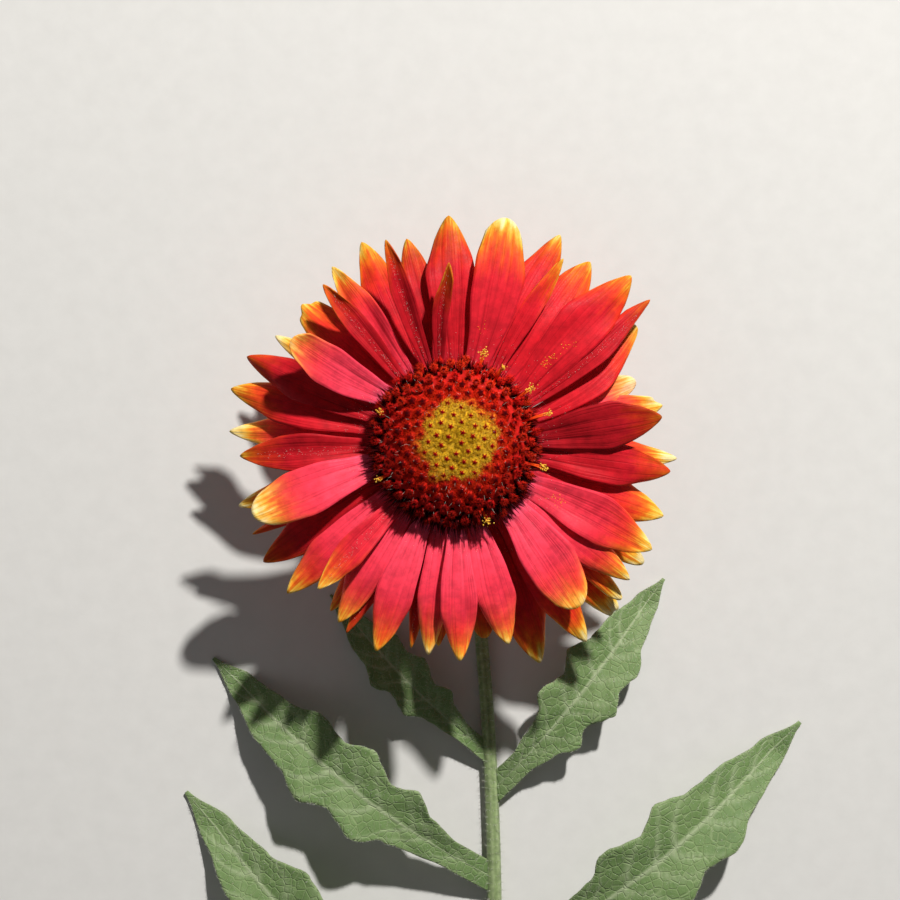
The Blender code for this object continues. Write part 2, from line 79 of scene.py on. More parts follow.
# Each ray: direction of its root and of its tip, the tip's distance from the head's middle, width, bow,
# layer, lift, fold, roll and shape of its tip. Only the scene has the last two: how many millimetres further
# than usual the yellow runs down from the tip, and how light the ray is. That lightness is partly the ray's
# own deeper or paler red and partly painted light and shade: lower for rays in cast shadow or turned from
# the light, higher for lit ones.
RAYS = (
    (2.5, 7.2, 36.7, 8.4, 0, 3, 5, 4, 20, "point", -3, 0.6),
    (9.5, 10.3, 37.9, 6.5, 0, 0, 0, 3, 0, "teeth", 1.5, 1.08),
    (16, 18.9, 34.2, 5.5, 0, 0, 3, 3, 0, "round", 2, 1.08),
    (19, 32.8, 38.6, 6, -2.8, 1, 0, 6, -6, "round", 0, 0.9),
    (27, 36.3, 42.9, 4.2, -1.2, 2, 2, 20, 0, "point", -2.5, 0.78),
    (30.5, 43.5, 43, 9, 0.6, 2, 3, 8, 4, "point", -1, 0.92),
    (50, 53.3, 40.4, 9, -0.4, 1, 0, 5, 0, "point", -0.5, 0.9),
    (59.5, 59.6, 37.8, 3.6, 0.4, 2, 6, 10, 0, "point", -0.5, 0.92),
    (65.5, 63.2, 41.7, 7.4, 0.9, 1, 0, 4, 0, "point", -1, 0.85),
    (76, 77, 40.7, 9.1, -1, 3, 0, 4, 3, "round", 1.4, 0.96),
    (90, 91.6, 40.4, 8.8, 0, 2, 0, 5, 0, "point", -0.6, 0.8),
    (102.5, 91.9, 31.4, 3, 1, 3, 20, 36, 0, "point", -2, 0.68),
    (101.5, 103.3, 37.4, 6.4, 0, 1, 3, 10, 4, "point", -1.5, 0.74),
    (108.5, 108.9, 37.5, 3.8, 0.3, 3, 12, 34, 0, "point", -2, 0.7),
    (118.5, 114.9, 39.6, 7.2, 0.2, 1, 0, 5, 0, "point", 0, 0.86),
    (124.5, 124.9, 38, 5.4, -0.1, 2, 6, 12, -10, "point", 0.6, 1),
    (131, 129.8, 36.3, 4, -0.2, 2, 12, 20, 0, "point", -2, 0.72),
    (136, 138, 36.9, 8, 0.3, 1, 0, 4, 3, "teeth", 0, 0.96),
    (141.5, 148, 33.7, 7.2, 0.8, 3, 18, 8, -6, "round", -0.2, 1.08),
    (150, 149.2, 37.6, 4.6, 0, 0, 0, 4, 0, "point", 2, 1),
    (162, 157.4, 40, 6.8, 0.2, 2, 0, 5, -12, "point", -3.5, 0.7),
    (168.5, 166.4, 41.2, 7.4, 0.2, 1, 0, 4, 0, "point", 0, 0.9),
    (174, 177, 40.6, 5.8, -0.2, 0, 0, 3, 0, "point", 2, 1.15),
    (183.5, 183.4, 38.2, 6.6, 0, 2, 3, 22, -8, "point", -2, 0.76),
    (195, 196.2, 40.5, 5.5, 0, 0, 0, 3, 0, "point", 1, 1),
    (192.5, 199.4, 37.8, 8.7, -0.2, 3, 3, 5, 5, "round", 1.8, 1.16),
    (205, 204.2, 39.9, 2.6, 0, 0, 0, 8, 0, "point", -2, 0.8),
    (207.5, 211.8, 40.3, 7.2, -0.2, 1, 0, 4, -8, "point", -2.5, 0.7),
    (216, 221.8, 40, 6.6, -0.2, 2, 0, 5, -4, "point", 0.5, 1.05),
    (227.3, 226.8, 35.2, 5.2, -0.3, 3, 8, 16, -6, "point", 0, 0.98),
    (232, 233.4, 37.5, 4.5, 0, 0, 0, 3, 0, "point", -1, 0.85),
    (234.5, 237, 38, 6.2, -0.6, 2, 0, 5, 5, "point", 0, 1.1),
    (242.5, 240.2, 39, 3.2, 0, 1, 3, 30, 0, "point", -2.5, 0.72),
    (248.5, 249.2, 39.3, 6.7, -0.5, 3, 0, 5, 4, "point", -0.5, 1.08),
    (253, 257.9, 37.4, 3, -0.4, 1, 0, 24, 0, "point", -1.5, 0.8),
    (257.5, 262.8, 37.9, 5.4, -0.1, 2, 0, 8, 4, "point", 0.5, 1.12),
    (264, 265.3, 36.6, 5, 0, 0, 0, 3, 0, "point", -1, 0.8),
    (271.5, 271.3, 38.5, 6.6, 0, 3, 0, 6, 3, "point", -0.5, 1.12),
    (277.5, 278.8, 35.4, 5.5, 0, 0, 0, 3, 0, "round", -2, 0.8),
    (284.5, 284.9, 37, 7, 0.1, 2, 0, 4, -3, "point", 0, 1.12),
    (296, 291.2, 42.4, 8.3, 0.3, 0, 0, 3, 0, "point", 0.5, 0.85),
    (302.5, 303.5, 42.6, 7.2, 0.2, 1, 0, 4, 0, "point", 0.5, 0.95),
    (312.5, 307.3, 36.2, 9.3, 0.4, 3, 4, 4, 3, "round", 0, 1.12),
    (316, 313.4, 41.6, 6.8, 0, 0, 0, 4, 0, "notch", 1.5, 0.95),
    (319, 316.8, 40.8, 3.8, 0.2, 1, 0, 4, 0, "round", 1.5, 1),
    (319.5, 322, 39.4, 6.4, 0, 2, 0, 6, 4, "point", 0.5, 1.06),
    (328, 327.5, 40.2, 4.8, 0, 0, 0, 4, 0, "round", 1.5, 0.98),
    (326.5, 331.6, 39.7, 8.6, 0.7, 2, 2, 12, 0, "point", 0.3, 1.02),
    (340.5, 340.7, 39.5, 8, -0.1, 1, 0, 4, 0, "point", 0.4, 0.98),
    (352.5, 352.5, 38.6, 7.6, 0, 2, 0, 6, 8, "point", -2.5, 0.8),
    (357.5, 356, 40, 5.2, 0, 0, 0, 4, 0, "point", 1.5, 0.98),
)
RAY_ROWS, RAY_COLUMNS = 40, 16
RAY_THICK, RAY_RIM = 0.36, 0.12
FOLDED_FROM = 15.0
RAY_HAIRS, FOLD_HAIRS = 40, 110
GROOVE_AT, GROOVE_WIDTH, GROOVE_DEPTH = 0.36, 0.13, 0.24

# Disc: one dome under all florets, and the sizes of what stands on it
DOME_OUTLINE = ((12.4, 3.4), (13.1, 4.8), (13.0, 5.6), (12.1, 7.0), (10.7, 8.1), (9.1, 9.0), (7.4, 9.6),
                (5.8, 10.2), (3.9, 10.7), (1.9, 11.0))
DOME_TOP = 11.1
DISC_SPACING = 2.08
YELLOW_R, RED_R, OPEN_R = 6.1, 8.4, 10.2
YELLOW_MIDDLE, YELLOW_RAGGED = Vector((0.6, 0.4, 0.0)), 0.5
# Direction of the side turned from the key light, where the disc's rim is darkened with painted shade
PAINTED_SHADE_SIDE = 250.0
FUZZ_COUNT, BRUSH_COUNT = 210, 170
BRISTLE_COUNT, BRISTLE_ROOT_R = 900, 12.7
GLINT_SPACING, GLINTS_FROM = 0.95, 6.5
DOME_SIDES = 72

# Leaves, as in the part's source: distance of the root from the head's end of the stem, side of the stem,
# angle to it, length, width, height of the arch, and turn towards the tip
LEAVES = (
    (60, -1, 45, 41, 11, 4, 8),
    (67, 1, 44, 50, 15, 5, 6),
    (84, -1, 56, 66, 17, 8, 12),
    (100, 1, 58, 72, 19, 9, 14),
    (122, -1, 56, 78, 20, 9, 16),
    (140, 1, 56, 76, 20, 8, 10),
    (158, -1, 62, 72, 18, 7, 12),
)
# Place along the leaf, and the half width of its left and right side there as shares of half its width
LEAF_OUTLINE = ((0.0, 0.30, 0.30), (0.13, 0.32, 0.30), (0.24, 0.50, 0.42), (0.32, 0.86, 0.54),
                (0.39, 0.62, 0.90), (0.50, 1.0, 0.68), (0.58, 0.72, 0.98), (0.67, 0.84, 0.68),
                (0.76, 0.52, 0.62), (0.88, 0.33, 0.33), (1.0, 0.04, 0.04))
LEAF_ROOT_Z, LEAF_FOLD, LEAF_FLAT_FROM, LEAF_ROOT_STRETCH = 1.75, 13.0, 0.9, 0.16
LEAF_ROWS, LEAF_COLUMNS = 84, 20
LEAF_THICK = 0.42
LEAF_HAIRS_PER_MM = 28
SOLID_BLADE = 0.64

# Involucre, as in the part's source. Each row of bracts: count, height of the roots, length, width, fall,
# direction of the first bract, and distance of the roots from the axis
CUP_OUTLINE = ((1.9, -9.0), (3.2, -7.6), (5.6, -5.6), (8.2, -4.0), (9.6, -2.6), (9.8, -0.9))
BRACT_ROWS = (
    (10, -2.3, 14, 3.6, 9, 0, 7.8),
    (10, -3.5, 12.5, 3.4, 19, 18, 7.2),
    (10, -4.9, 11, 3, 33, 6, 5),
)
CUP_SIDES = 60
BRACT_HAIRS = 60

# Colours, linear
CREAM, PALE_YELLOW, GOLD = (0.95, 0.78, 0.36), (0.93, 0.64, 0.14), (0.90, 0.44, 0.035)
ORANGE, SCARLET, CRIMSON = (0.86, 0.17, 0.012), (0.76, 0.036, 0.014), (0.68, 0.013, 0.024)
ROSE, LILAC = (0.82, 0.050, 0.094), (0.58, 0.14, 0.27)
BUD_MAROON, MAROON = (0.17, 0.005, 0.006), (0.035, 0.0012, 0.002)
OLIVE, DISC_GOLD = (0.62, 0.38, 0.012), (1.0, 0.63, 0.02)
DISC_RED, DISC_ORANGE = (0.98, 0.010, 0.006), (1.0, 0.11, 0.010)
POLLEN = (0.90, 0.50, 0.03)
LEAF_DARK, LEAF_GREEN, LEAF_PALE = (0.07, 0.13, 0.04), (0.13, 0.215, 0.07), (0.30, 0.38, 0.19)
STEM_GREEN, HAIR_WHITE = (0.25, 0.31, 0.14), (0.72, 0.72, 0.66)
FLOOR_DARK, FLOOR_LIGHT = (0.66, 0.66, 0.645), (0.69, 0.69, 0.675)

# Rings of the stem's cut end: share of its radius, how far each sinks in, and its colour
CUT_RINGS = ((0.8, 0.0, LEAF_PALE), (0.5, 0.12, (0.42, 0.45, 0.28)), (0.15, 0.05, (0.5, 0.5, 0.36)))


def smoothstep(low, high, x):
    x = min(1.0, max(0.0, (x - low) / (high - low)))
    return x * x * (3.0 - 2.0 * x)


def mix(a, b, share):
    return tuple(x + (y - x) * share for x, y in zip(a, b))


def bump(x, middle, width):
    return exp(-((x - middle) / width) ** 2)


def polar(r, angle, z):
    return Vector((r * cos(angle), r * sin(angle), z))


def ring_point(middle, side, other, r, angle):
    return middle + side * (r * cos(angle)) + other * (r * sin(angle))


def scatter(rng, size):
    return Vector([rng.gauss(0, size) for _ in range(3)])


def put_in_scene(name, data):
    thing = bpy.data.objects.new(name, data)
    bpy.context.scene.collection.objects.link(thing)
    return thing


class Mesh:
    """Points in millimetres, faces and the values stored on each point, collected for one piece."""

    def __init__(self, *names):
        self.points, self.faces = [], []
        self.values = {name: [] for name in names}

    def add(self, points, faces, **values):
        """Adds points and faces. Each value is one number or colour, or a list with one for each point."""
        low = len(self.points)
        self.points += points
        self.faces += [tuple(low + k for k in face) for face in faces]
        for name, store in self.values.items():
            given = values[name]
            store += given if isinstance(given, list) else [given] * len(points)

    def make(self, name, finish, matrix, replaced=()):
        mesh = bpy.data.meshes.new(name)
        mesh.from_pydata([matrix @ (Vector(p) * MM) for p in self.points], [], self.faces)
        for key, store in self.values.items():
            if isinstance(store[0], tuple):
                layer = mesh.attributes.new(key, "FLOAT_COLOR", "POINT")
                layer.data.foreach_set("color", [c for colour in store for c in (*colour, 1.0)])
            else:
                mesh.attributes.new(key, "FLOAT", "POINT").data.foreach_set("value", store)
        mesh.shade_smooth()
        mesh.materials.append(finish)
        thing = put_in_scene(name, mesh)
        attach(thing, "root")
        if replaced:
            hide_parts(*replaced)
        return thing


# Materials

class Shader:
    """A Principled material whose nodes are added with short calls."""

    def __init__(self, name, roughness, specular=0.4):
        self.material = bpy.data.materials.new(name)
        self.material.use_nodes = True
        self.tree = self.material.node_tree
        self.surface = self.tree.nodes["Principled BSDF"]
        self.surface.inputs["Roughness"].default_value = roughness
        self.surface.inputs["Specular IOR Level"].default_value = specular

    def node(self, kind, **settings):
        made = self.tree.nodes.new(kind)
        for key, value in settings.items():
            setattr(made, key, value)
        return made

    def put(self, socket, value):
        if isinstance(value, bpy.types.NodeSocket):
            self.tree.links.new(value, socket)
        elif isinstance(value, tuple) and len(value) == 3 and socket.type == "RGBA":
            socket.default_value = (*value, 1.0)
        else:
            socket.default_value = value

    def fed(self, made, *values):
        for socket, value in zip(made.inputs, values):
            self.put(socket, value)
        return made.outputs[0]

    def math(self, operation, a, b=0.0):
        return self.fed(self.node("ShaderNodeMath", operation=operation), a, b)

    def plus(self, a, b):
        return self.math("ADD", a, b)

    def minus(self, a, b):
        return self.math("SUBTRACT", a, b)

    def times(self, a, b):
        return self.math("MULTIPLY", a, b)

    def attribute(self, name, kind="Fac"):
        return self.node("ShaderNodeAttribute", attribute_name=name).outputs[kind]

    def vector(self, x, y, z):
        return self.fed(self.node("ShaderNodeCombineXYZ"), x, y, z)

    def place(self):
        return self.node("ShaderNodeTexCoord").outputs["Object"]

    def noise(self, vector, scale, detail=3.0, roughness=0.55):
        made = self.node("ShaderNodeTexNoise")
        given = {"Vector": vector, "Scale": scale, "Detail": detail, "Roughness": roughness}
        for key, value in given.items():
            self.put(made.inputs[key], value)
        return made.outputs["Fac"]

    def ramp(self, factor, stops):
        made = self.node("ShaderNodeValToRGB")
        elements = made.color_ramp.elements
        while len(elements) > 1:
            elements.remove(elements[-1])
        for k, (place, colour) in enumerate(stops):
            element = elements[0] if k == 0 else elements.new(place)
            element.position = place
            element.color = (*colour, 1.0)
        self.put(made.inputs[0], factor)
        return made.outputs[0]

    def span(self, value, low, high, to_low=0.0, to_high=1.0):
        made = self.node("ShaderNodeMapRange", interpolation_type="SMOOTHSTEP")
        return self.fed(made, value, low, high, to_low, to_high)

    def blend(self, factor, a, b, kind="MIX"):
        made = self.node("ShaderNodeMix", data_type="RGBA", blend_type=kind)
        self.put(made.inputs[0], factor)
        self.put(made.inputs[6], a)
        self.put(made.inputs[7], b)
        return made.outputs[2]

    def shaded(self, colour, shade):
        return self.blend(1.0, colour, self.vector(shade, shade, shade), "MULTIPLY")

    def sheen(self, weight, roughness):
        self.surface.inputs["Sheen Weight"].default_value = weight
        self.surface.inputs["Sheen Roughness"].default_value = roughness

    def finish(self, colour, height=None, depth=0.0002, strength=0.5, roughness=None):
        self.put(self.surface.inputs["Base Color"], colour)
        if roughness is not None:
            self.put(self.surface.inputs["Roughness"], roughness)
        if height is not None:
            relief = self.node("ShaderNodeBump")
            relief.inputs["Strength"].default_value = strength
            relief.inputs["Distance"].default_value = depth
            self.put(relief.inputs["Height"], height)
            self.put(self.surface.inputs["Normal"], relief.outputs[0])
        return self.material


def ray_material():
    """Crimson with faint lengthwise veins, streaked into orange and yellow at the tip, lilac at the root."""
    s = Shader("ray", 0.5, 0.09)
    across, root, tip = s.attribute("across"), s.attribute("root_mm"), s.attribute("tip_mm")
    edge, seed, tone = s.attribute("edge_mm"), s.attribute("seed"), s.attribute("tone")

    def stretched(around, along, shift):
        """Coordinates that turn a noise into lengthwise streaks, different on each ray."""
        return s.vector(s.times(across, around), s.times(root, along), s.times(seed, shift))

    streak = s.noise(stretched(5.0, 0.16, 37.0), 1.0, 4.0, 0.62)
    patch = s.noise(stretched(1.3, 0.24, 91.0), 1.0, 2.0)
    margin = s.span(edge, 0.0, 0.7, 0.9, 0.0)
    reach = s.plus(s.minus(s.minus(tip, s.attribute("yellow")), margin), 1.0)
    reach = s.plus(reach, s.times(s.minus(streak, 0.45), 9.0))
    reach = s.plus(reach, s.times(s.minus(patch, 0.5), 4.0))
    body = s.ramp(s.math("DIVIDE", reach, 14.0), (
        (0.02, CREAM), (0.09, PALE_YELLOW), (0.17, GOLD), (0.29, ORANGE), (0.42, mix(ORANGE, SCARLET, 0.65)),
        (0.55, SCARLET), (0.80, CRIMSON)))
    # The rose and lilac at the root show only on the rays with more painted light (higher tone)
    rosy = s.span(s.plus(root, s.times(patch, 8.0)), 12.0, 34.0, 1.0, 0.0)
    rosy = s.times(rosy, s.span(tone, 0.93, 1.08, 0.0, 1.0))
    body = s.blend(rosy, body, ROSE)
    lilac = s.span(s.plus(root, s.times(streak, 5.0)), 5.5, 10.5, 0.6, 0.0)
    lilac = s.times(lilac, s.span(tone, 0.94, 1.12, 0.1, 1.0))
    body = s.blend(lilac, body, LILAC)

    vein = s.span(s.noise(stretched(11.0, 0.045, 53.0), 1.0, 1.0), 0.36, 0.5, 1.0, 0.0)
    # The grooves: sunk in the relief, and darkened in colour as painted shade in the creases
    groove = s.minus(s.math("ABSOLUTE", across), GROOVE_AT)
    groove = s.span(s.math("ABSOLUTE", groove), 0.0, 0.085, 1.0, 0.0)
    groove = s.times(groove, s.span(root, 3.0, 22.0, 1.0, 0.1))
    # Painted light and shade: each ray is made darker or lighter by its tone, as it lay in shadow or in light
    shade = s.minus(tone, s.times(groove, 0.34))
    shade = s.minus(shade, s.times(vein, 0.10))
    mottle = s.noise(s.place(), 520.0, 4.0, 0.65)
    shade = s.times(shade, s.span(mottle, 0.28, 0.72, 0.78, 1.12))
    colour = s.shaded(body, shade)
    cells = s.noise(s.place(), 4200.0, 2.0)
    height = s.plus(s.times(cells, 0.35), s.times(vein, -0.6))
    height = s.minus(height, groove)
    s.sheen(0.008, 0.45)
    s.surface.inputs["Sheen Tint"].default_value = (1.0, 0.55, 0.6, 1.0)
    return s.finish(colour, height, 0.00012, 0.5, s.span(cells, 0.3, 0.7, 0.42, 0.58))


def tinted_material(name, roughness, scale, spread, depth, sheen=0.0, specular=0.2):
    """A finish that takes its colour from the mesh and breaks it up with fine noise."""
    s = Shader(name, roughness, specular)
    fine = s.noise(s.place(), scale, 4.0, 0.6)
    shade = s.span(fine, 0.25, 0.75, 1.0 - spread, 1.0 + spread)
    colour = s.shaded(s.attribute("tint", "Color"), shade)
    if sheen:
        s.sheen(sheen, 0.4)
    uneven = s.span(fine, 0.2, 0.8, roughness - 0.1, roughness + 0.12)
    return s.finish(colour, fine, depth, 0.6, uneven)


def leaf_material():
    """Grey-green blade with a paler net of veins, downy between them."""
    s = Shader("leaf", 0.62, 0.3)
    rib, edge = s.attribute("rib"), s.attribute("edge_mm")
    blotch = s.noise(s.place(), 130.0, 4.0, 0.6)
    down = s.noise(s.place(), 2600.0, 3.0, 0.7)
    net = s.node("ShaderNodeTexVoronoi", feature="DISTANCE_TO_EDGE")
    s.put(net.inputs["Vector"], s.place())
    net.inputs["Scale"].default_value = 620.0
    net_line = s.span(net.outputs["Distance"], 0.0, 0.10, 1.0, 0.0)
    body = s.ramp(blotch, ((0.25, mix(LEAF_GREEN, LEAF_DARK, 0.5)), (0.5, LEAF_GREEN),
                           (0.75, mix(LEAF_GREEN, LEAF_PALE, 0.35))))
    body = s.blend(s.times(net_line, 0.35), body, LEAF_PALE)
    body = s.blend(s.times(rib, 0.85), body, mix(LEAF_PALE, HAIR_WHITE, 0.15))
    body = s.blend(s.span(down, 0.45, 0.8, 0.0, 0.35), body, LEAF_PALE)
    body = s.blend(s.span(edge, 0.0, 0.5, 0.4, 0.0), body, LEAF_PALE)
    height = s.plus(s.times(down, 0.5), s.times(net_line, -0.8))
    height = s.plus(height, s.times(rib, 0.6))
    s.sheen(0.3, 0.35)
    return s.finish(body, height, 0.00018, 0.7, s.span(down, 0.2, 0.8, 0.5, 0.75))


def hair_material():
    s = Shader("hairs", 0.45, 0.5)
    tone = s.noise(s.place(), 700.0, 2.0)
    return s.finish(s.ramp(tone, ((0.3, mix(HAIR_WHITE, LEAF_PALE, 0.4)), (0.7, HAIR_WHITE))))


# Shapes

def blade(target, surface, rows, columns, thickness, values):
    """A thin closed blade round surface(t, u), with thickness(t, u), added to the target mesh.

    values(t, u) gives what is stored on each point."""
    count = columns + 1
    sides = [-1.0 + 2.0 * j / columns for j in range(count)]
    grid = [[Vector(surface(i / rows, u)) for u in sides] for i in range(rows + 1)]
    top, bottom, stored = [], [], {name: [] for name in target.values}
    for i in range(rows + 1):
        for j, u in enumerate(sides):
            along = grid[min(i + 1, rows)][j] - grid[max(i - 1, 0)][j]
            across = grid[i][min(j + 1, columns)] - grid[i][max(j - 1, 0)]
            normal = along.cross(across).normalized()
            half = thickness(i / rows, u) / 2
            top.append(grid[i][j] + normal * half)
            bottom.append(grid[i][j] - normal * half)
            for name, value in values(i / rows, u).items():
                stored[name].append(value)
    low = len(top)
    faces = []
    for i in range(rows):
        for j in range(columns):
            a, b = i * count + j, (i + 1) * count + j
            faces.append((a, b, b + 1, a + 1))
            faces.append((low + a + 1, low + b + 1, low + b, low + a))
    rim = [i * count for i in range(rows)]
    rim += [rows * count + j for j in range(columns)]
    rim += [i * count + columns for i in range(rows, 0, -1)]
    rim += range(columns, 0, -1)
    for k, a in enumerate(rim):
        b = rim[(k + 1) % len(rim)]
        faces.append((low + a, low + b, b, a))
    target.add(top + bottom, faces, **{name: store + store for name, store in stored.items()})


def tube_faces(rings, sides, pointed=False):
    """Faces of a closed tube round rings of points. It ends flat, or in one more point."""
    faces = []
    for i in range(rings - 1):
        for k in range(sides):
            a, b = i * sides + k, i * sides + (k + 1) % sides
            faces.append((a, b, b + sides, a + sides))
    faces.append(tuple(reversed(range(sides))))
    last = (rings - 1) * sides
    if pointed:
        faces += [(last + k, last + (k + 1) % sides, last + sides) for k in range(sides)]
    else:
        faces.append(tuple(range(last, last + sides)))
    return faces


def spike(target, root, direction, radii, heights, sides, colours, turn=0.0, star=1.0):
    """A pointed peg with a colour for each ring and its point. star pulls in every second point of a ring."""
    out = Vector(direction).normalized()
    side = out.orthogonal().normalized()
    other = out.cross(side)
    points, tint = [], []
    for r, h, colour in zip(radii, heights, colours):
        for k in range(sides):
            a = tau * k / sides + turn
            reach = r * (star if k % 2 else 1.0)
            points.append(ring_point(root + out * h, side, other, reach, a))
            tint.append(colour)
    points.append(root + out * heights[-1])
    tint.append(colours[-1])
    target.add(points, tube_faces(len(radii), sides, pointed=True), tint=tint)


def hair(target, root, direction, length, radius, colours=None):
    """A closed three-sided hair, with a colour for its foot and one for its tip if its piece stores them."""
    out = Vector(direction).normalized()
    side = out.orthogonal().normalized()
    other = out.cross(side)
    points = [ring_point(root, side, other, radius, a) for a in (0.0, tau / 3, 2 * tau / 3)]
    points.append(root + out * length)
    stored = {} if colours is None else {"tint": [colours[0]] * 3 + [colours[1]]}
    target.add(points, [(2, 1, 0), (0, 1, 3), (1, 2, 3), (2, 0, 3)], **stored)


# Frames

def bezier(points, t):
    a, b, c, d = (Vector(p) for p in points)
    s = 1.0 - t
    return a * s**3 + b * (3 * s * s * t) + c * (3 * s * t * t) + d * t**3


def pointing(degrees):
    return Vector((cos(radians(degrees)), sin(radians(degrees))))


def neck_frame():
    heading = Vector((-sin(radians(NECK_HEADING)), cos(radians(NECK_HEADING))))
    reach = NECK_BEND_R * cos(radians(HEAD_LEAN)) - STEM_END * sin(radians(HEAD_LEAN))
    return heading, -heading * reach


def stem_line(neck_steps, lying_steps):
    """The stem's middle line from head to cut: (plan point, height, tangent, radius) at each station."""
    heading, lift_off = neck_frame()
    rest = cos(pi / STEM_FLAT_SIDES)
    stations = []
    bend = radians(90.0 - HEAD_LEAN)
    for i in range(neck_steps):
        share = i / neck_steps
        a = bend * (1.0 - share)
        radius = STEM_NECK_R + (STEM_TOP_R - STEM_NECK_R) * (1.0 - smoothstep(0.0, 0.35, share))
        plan = lift_off + heading * (NECK_BEND_R * sin(a))
        height = STEM_NECK_R * rest + NECK_BEND_R * (1.0 - cos(a))
        tangent = Vector((heading.x * cos(a), heading.y * cos(a), sin(a)))
        stations.append((plan, height, tangent, radius))
    curve = (lift_off, lift_off - heading * STEM_STRAIGHT, STEM_BEND_POINT, STEM_CUT_POINT)
    for i in range(lying_steps + 1):
        t = i / lying_steps
        plan = bezier(curve, t)
        ahead = bezier(curve, max(0.0, t - 0.01)) - bezier(curve, min(1.0, t + 0.01))
        radius = STEM_NECK_R + (STEM_FOOT_R - STEM_NECK_R) * smoothstep(0.0, 1.0, t)
        tangent = Vector((ahead.x, ahead.y, 0.0)).normalized()
        stations.append((plan, radius * rest, tangent, radius))
    return stations


def stem_at(distance):
    lying = stem_line(NECK_STEPS, LYING_STEPS)[NECK_STEPS:]
    plan, _, tangent, radius = min(lying, key=lambda s: abs(s[0].y + distance))
    plan = plan + Vector((tangent.x, tangent.y)) * ((-distance - plan.y) / tangent.y)
    return plan, tangent, radius


def head_frame():
    top, height, axis, _ = stem_line(NECK_STEPS, LYING_STEPS)[0]
    x_axis = (Vector((1.0, 0.0, 0.0)) - axis * axis.x).normalized()
    turn = Matrix((x_axis, axis.cross(x_axis), axis)).transposed()
    middle = Vector((top.x, top.y, height)) - axis * STEM_END
    return PLANT @ Matrix.Translation(middle * MM) @ turn.to_4x4()


PLANT = Matrix.Translation((HEAD_X * MM, HEAD_Y * MM, 0.0))
HEAD = head_frame()


# Rays

def ray_parts(ray, number):
    """The middle surface of a ray, its thickness and what its material reads."""
    root, aim, tip, width, bow, level, lift, fold, roll, tip_shape, yellow, tone = ray
    back, power, notch, end_width = TIPS[tip_shape]
    start = pointing(root) * RAY_ROOT
    way = pointing(aim) * tip - start
    length = way.length
    way.normalize()
    left = Vector((-way.y, way.x))
    slope = tan(radians(LEVEL_SLOPES[level]))
    lift = tan(radians(lift))
    fold, roll = tan(radians(fold)), sin(radians(roll))
    rng = random.Random(number)
    seed = rng.random()
    waves = [(rng.uniform(0.5, 1.0), rng.uniform(0.0, 6.28), rng.uniform(1.0, 2.6)) for _ in range(3)]
    groove_shift = rng.uniform(-0.05, 0.05)

    def end(u):
        return 1.0 - back * abs(u) ** power - notch * sin(pi * u / 0.95) ** 2

    def half_width(t):
        if t < RAY_WIDEST:
            share = 0.40 + 0.60 * smoothstep(0.0, RAY_WIDEST, t)
        else:
            share = 1.0 - (1.0 - end_width) * ((t - RAY_WIDEST) / (1.0 - RAY_WIDEST)) ** 2
        return width / 2 * share

    def reach(t, u):
        return length * (t - (1.0 - end(u)) * smoothstep(0.55, 1.0, t))

    def surface(t, u):
        along, half = reach(t, u), half_width(t)
        ramp = smoothstep(0.05, 0.45, t)
        height = level * LEVEL_STEP + slope * along
        height += lift * length * max(0.0, (t - LIFT_FROM) / (1.0 - LIFT_FROM)) ** 2
        height += RAY_ARCH * sin(pi * t) ** 2 - RAY_DROOP * t**3
        height += half * (abs(u) * fold + u * roll) * ramp
        trough = bump(abs(u + groove_shift), GROOVE_AT, GROOVE_WIDTH) * (1.0 - 0.7 * t)
        height -= GROOVE_DEPTH * trough * smoothstep(0.0, 0.2, t)
        for size, phase, pace in waves:
            height += 0.12 * size * ramp * sin(pace * (2.2 * t + 0.8 * u) * 2.0 + phase)
        height += 0.16 * u * u * sin(12.0 * t + 9.0 * seed + 1.5 * u) * ramp
        side = half * u * (1.0 + 0.02 * sin(19.0 * t + 20.0 * seed + 2.0 * u))
        side += bow * 4.0 * t * (1.0 - t)
        spot = start + way * along + left * side
        return spot.x, spot.y, height

    def thickness(t, u):
        return RAY_RIM + (RAY_THICK - RAY_RIM) * (1.0 - abs(u) ** 3) * (1.0 - 0.6 * t**6)

    def values(t, u):
        along = reach(t, u)
        return {"across": u, "root_mm": along, "tip_mm": length * (0.55 + 0.45 * end(u)) - along,
                "edge_mm": half_width(t) * (1.0 - abs(u)), "seed": seed, "yellow": yellow, "tone": tone}

    return surface, thickness, values


def make_rays():
    finish = ray_material()
    for level in range(len(LEVEL_SLOPES)):
        layer = Mesh("across", "root_mm", "tip_mm", "edge_mm", "seed", "yellow", "tone")
        for number, ray in enumerate(RAYS):
            if ray[5] == level:
                surface, thickness, values = ray_parts(ray, number)
                blade(layer, surface, RAY_ROWS, RAY_COLUMNS, thickness, values)
        layer.make(f"rays_layer_{level + 1}", finish, HEAD, ("ray_florets",))


def make_ray_hairs():
    """Short pale hairs on the roots of the rays and along the folded ones, their whiteness also a painted
    glint.
    """
    rng = random.Random(71)
    down = Mesh()
    for number, ray in enumerate(RAYS):
        surface, _, _ = ray_parts(ray, number)
        folded = ray[7] > FOLDED_FROM
        for _ in range(FOLD_HAIRS if folded else RAY_HAIRS):
            t = rng.uniform(0.12, 0.9) if folded else 0.13 + 0.22 * rng.random() ** 2
            u = rng.uniform(-0.25, 0.25) if folded else rng.uniform(-0.95, 0.95)
            root = Vector(surface(t, u))
            ahead = (Vector(surface(min(t + 0.02, 1.0), u)) - root).normalized()
            out = Vector((rng.gauss(0, 0.35), rng.gauss(0, 0.35), 1.0)) + ahead * rng.uniform(-0.3, 0.9)
            hair(down, root + Vector((0, 0, 0.1)), out, rng.uniform(0.3, 0.65), 0.024)
    down.make("ray_glint_hairs", hair_material(), HEAD)


# Disc

